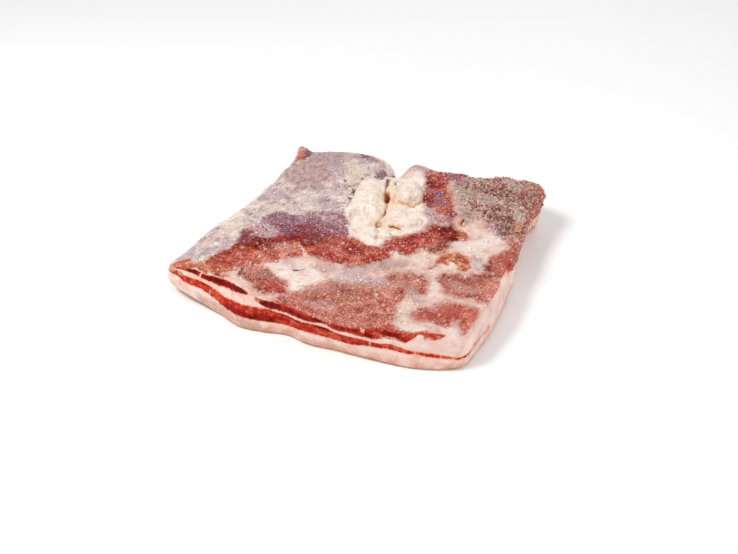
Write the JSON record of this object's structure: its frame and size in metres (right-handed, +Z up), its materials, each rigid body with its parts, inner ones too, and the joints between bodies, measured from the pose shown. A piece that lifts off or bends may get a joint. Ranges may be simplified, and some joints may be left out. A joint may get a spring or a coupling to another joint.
{
  "type": "salted pork belly",
  "caption": "Square slab of dry-salted pork belly lying skin side down, with layered lean and fat at its cut sides, knobs of fat and coarse salt on top.",
  "frame": {"origin": "centre of the bounding box in plan, on the plane of the flat underside", "axes": "+Z up from the skin side to the meat side, -Y towards the long cut side with the layers, +X to the right along it"},
  "size_m": [0.2759, 0.274, 0.048],
  "materials": {
    "cured_pork": "moist cured lean meat with silvery skin and a dusting of salt, soft sheen",
    "pork_fat": "firm cream-white fat, faintly pink, waxy sheen",
    "coarse_salt": "frosted translucent salt crystals"
  },
  "bodies": {
    "root": {"pork_belly": "cured_pork"}
  },
  "joints": []
}
